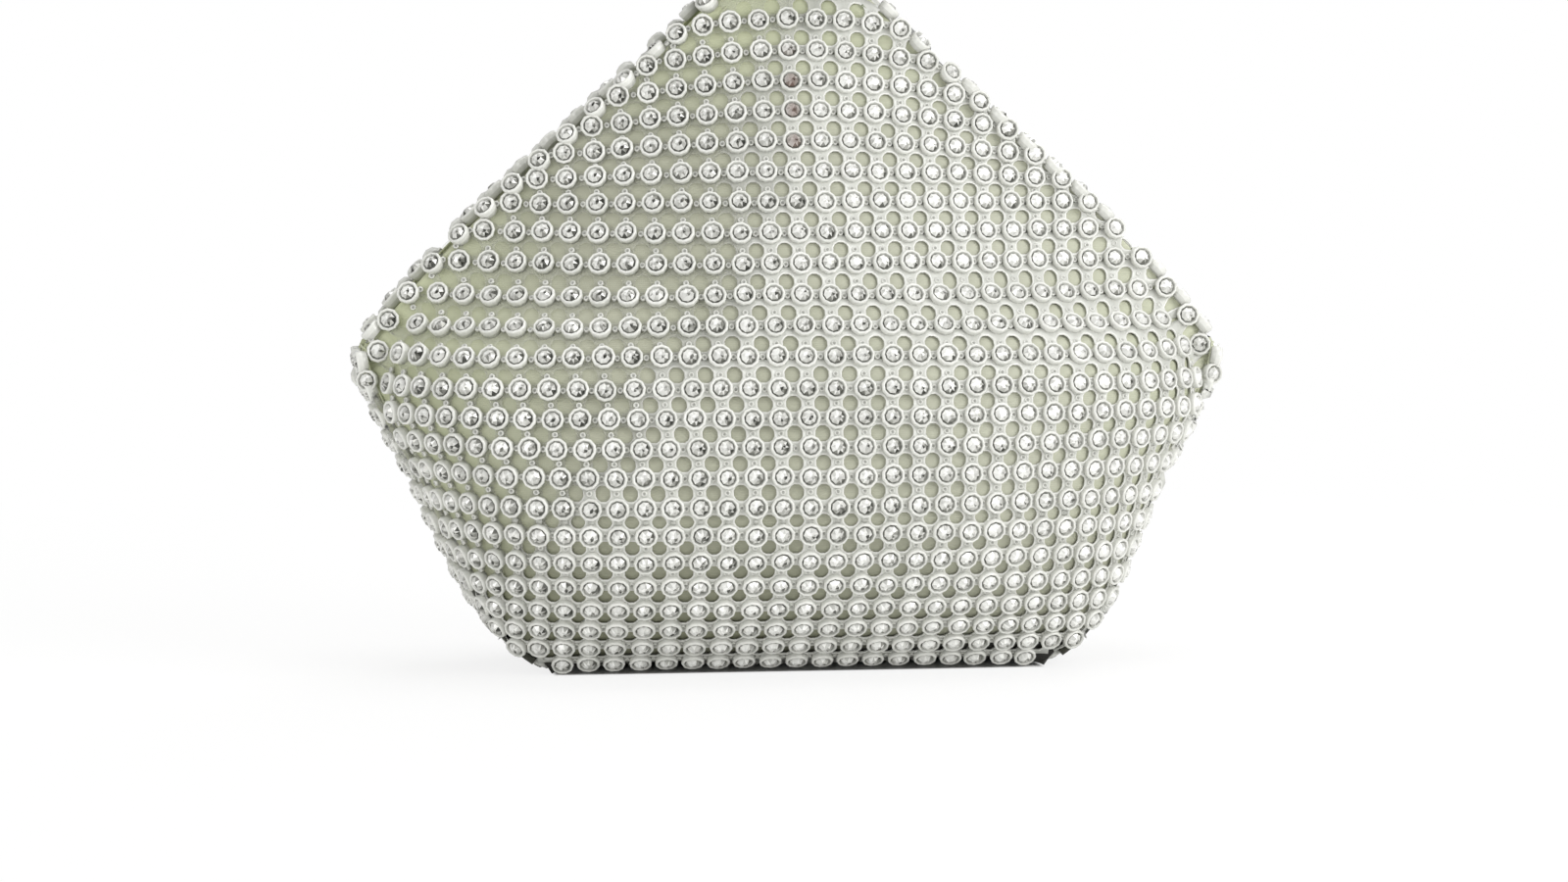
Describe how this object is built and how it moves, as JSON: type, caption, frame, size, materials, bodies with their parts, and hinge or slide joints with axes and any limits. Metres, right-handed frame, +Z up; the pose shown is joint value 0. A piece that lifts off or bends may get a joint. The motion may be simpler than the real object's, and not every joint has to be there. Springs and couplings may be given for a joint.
{
  "type": "handbag",
  "caption": "Small five-sided evening bag in crystal mesh over satin, with a flat boxed base, a zip along one shoulder and a hinged hoop handle.",
  "frame": {"origin": "on the floor under the middle of the base", "axes": "+Z up, front towards -Y, +X to the right seen from the front"},
  "size_m": [0.199, 0.0956, 0.2565],
  "materials": {
    "crystal_mesh": "clear faceted stones in round cups on a translucent white net",
    "satin": "sage satin with a soft sheen",
    "lining": "plain fine weave",
    "board": "dense grey board",
    "zip_tape": "woven tape",
    "silver": "polished silver-coloured plate",
    "nylon": "smooth moulded nylon"
  },
  "bodies": {
    "bag": {"neck_clamp": "silver", "clamp_screw_left": "silver", "clamp_screw_right": "silver", "pivot_pin_left": "silver", "pivot_pin_right": "silver", "zip_stop_upper": "silver", "zip_stop_lower": "silver", "zip_coil_front": "nylon", "zip_coil_back": "nylon", "neck_block": "nylon", "pivot_washer_left": "nylon", "pivot_washer_right": "nylon", "mesh_front": "crystal_mesh", "mesh_back": "crystal_mesh", "mesh_side_left": "crystal_mesh", "mesh_side_right": "crystal_mesh", "mesh_base": "crystal_mesh", "satin_front": "satin", "satin_back": "satin", "satin_side_left": "satin", "satin_side_right": "satin", "satin_base": "satin", "shoulder_gusset": "satin", "lining": "lining", "slip_pocket": "lining", "zip_tape_front": "zip_tape", "zip_tape_back": "zip_tape", "base_board": "board"},
    "handle": {"handle_core": "nylon", "handle_satin": "satin", "handle_mesh": "crystal_mesh", "handle_cap_left": "silver", "handle_cap_right": "silver"},
    "zip_slider": {"zip_slider": "silver"},
    "zip_pull": {"zip_pull": "silver"}
  },
  "joints": [
    {"name": "handle_swing", "type": "hinge", "parent": "bag", "child": "handle", "pos_m": [0, 0, 0.16], "axis": [1, 0, 0], "range_deg": [-115, 115]},
    {"name": "zip_slide", "type": "slide", "parent": "bag", "child": "zip_slider", "axis": [0.7115, 0, -0.7027], "range_m": [0, 0.0733]},
    {"name": "zip_pull_swing", "type": "hinge", "parent": "zip_slider", "child": "zip_pull", "pos_m": [0.02993, 0, 0.13939], "axis": [0, -1, 0], "range_deg": [0, 95]}
  ]
}
